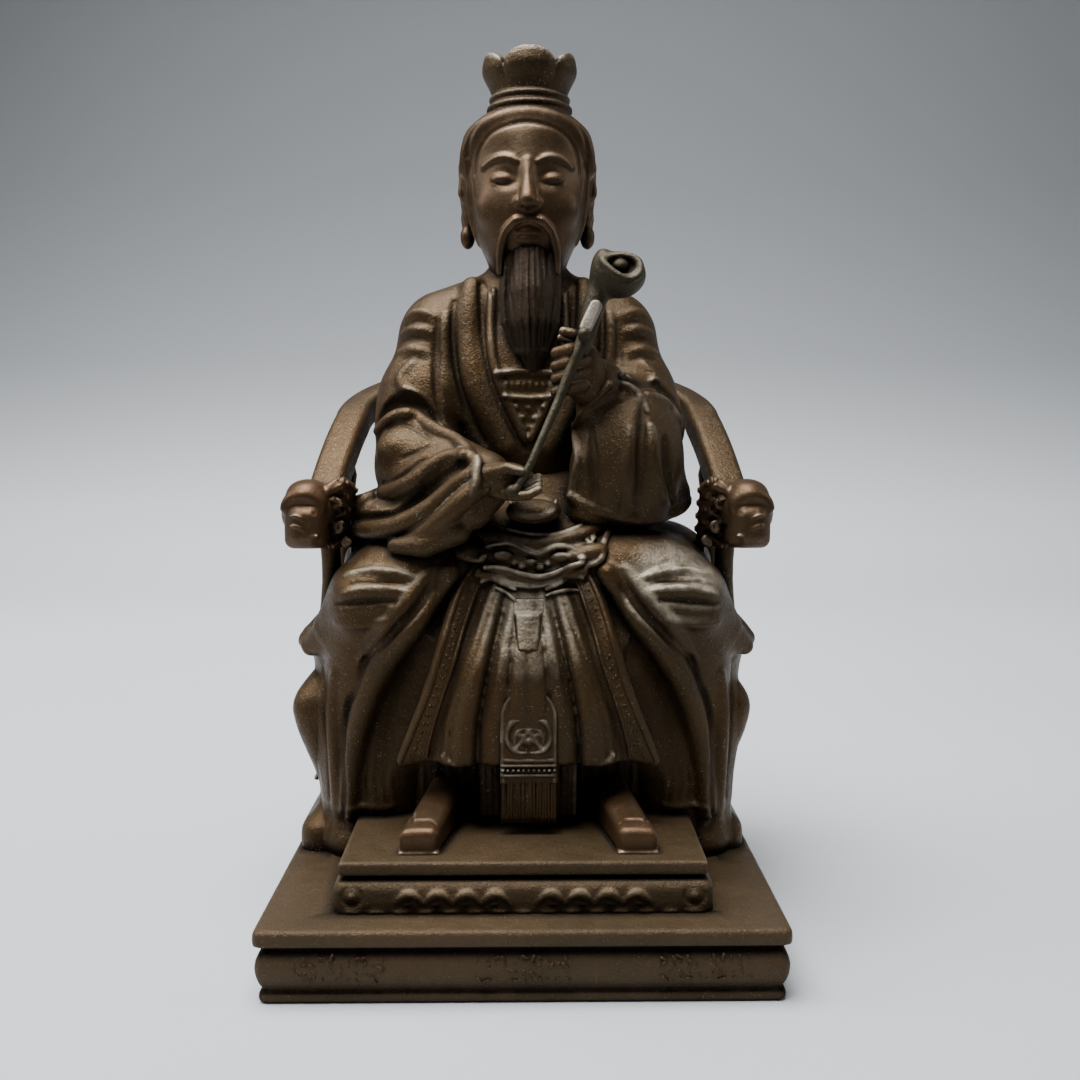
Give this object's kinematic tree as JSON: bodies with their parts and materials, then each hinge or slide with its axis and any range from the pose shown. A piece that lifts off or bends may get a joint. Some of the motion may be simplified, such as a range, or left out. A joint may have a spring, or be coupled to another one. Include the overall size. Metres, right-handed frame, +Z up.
{
  "type": "laozi statue",
  "caption": "Small cast bronze statue of a bearded sage seated in a horseshoe-backed armchair with a sceptre, a footstool and a moulded plinth.",
  "frame": {"origin": "middle of the plinth's flat underside", "axes": "+Z up through the statue, -Y the side the figure faces, +X to the figure's left hand"},
  "size_m": [0.1077, 0.102, 0.1959],
  "materials": {
    "bronze": "dark brown patinated cast bronze, satin, worn lighter on the high spots"
  },
  "bodies": {
    "root": {"seated_sage_statue": "bronze"}
  },
  "joints": []
}
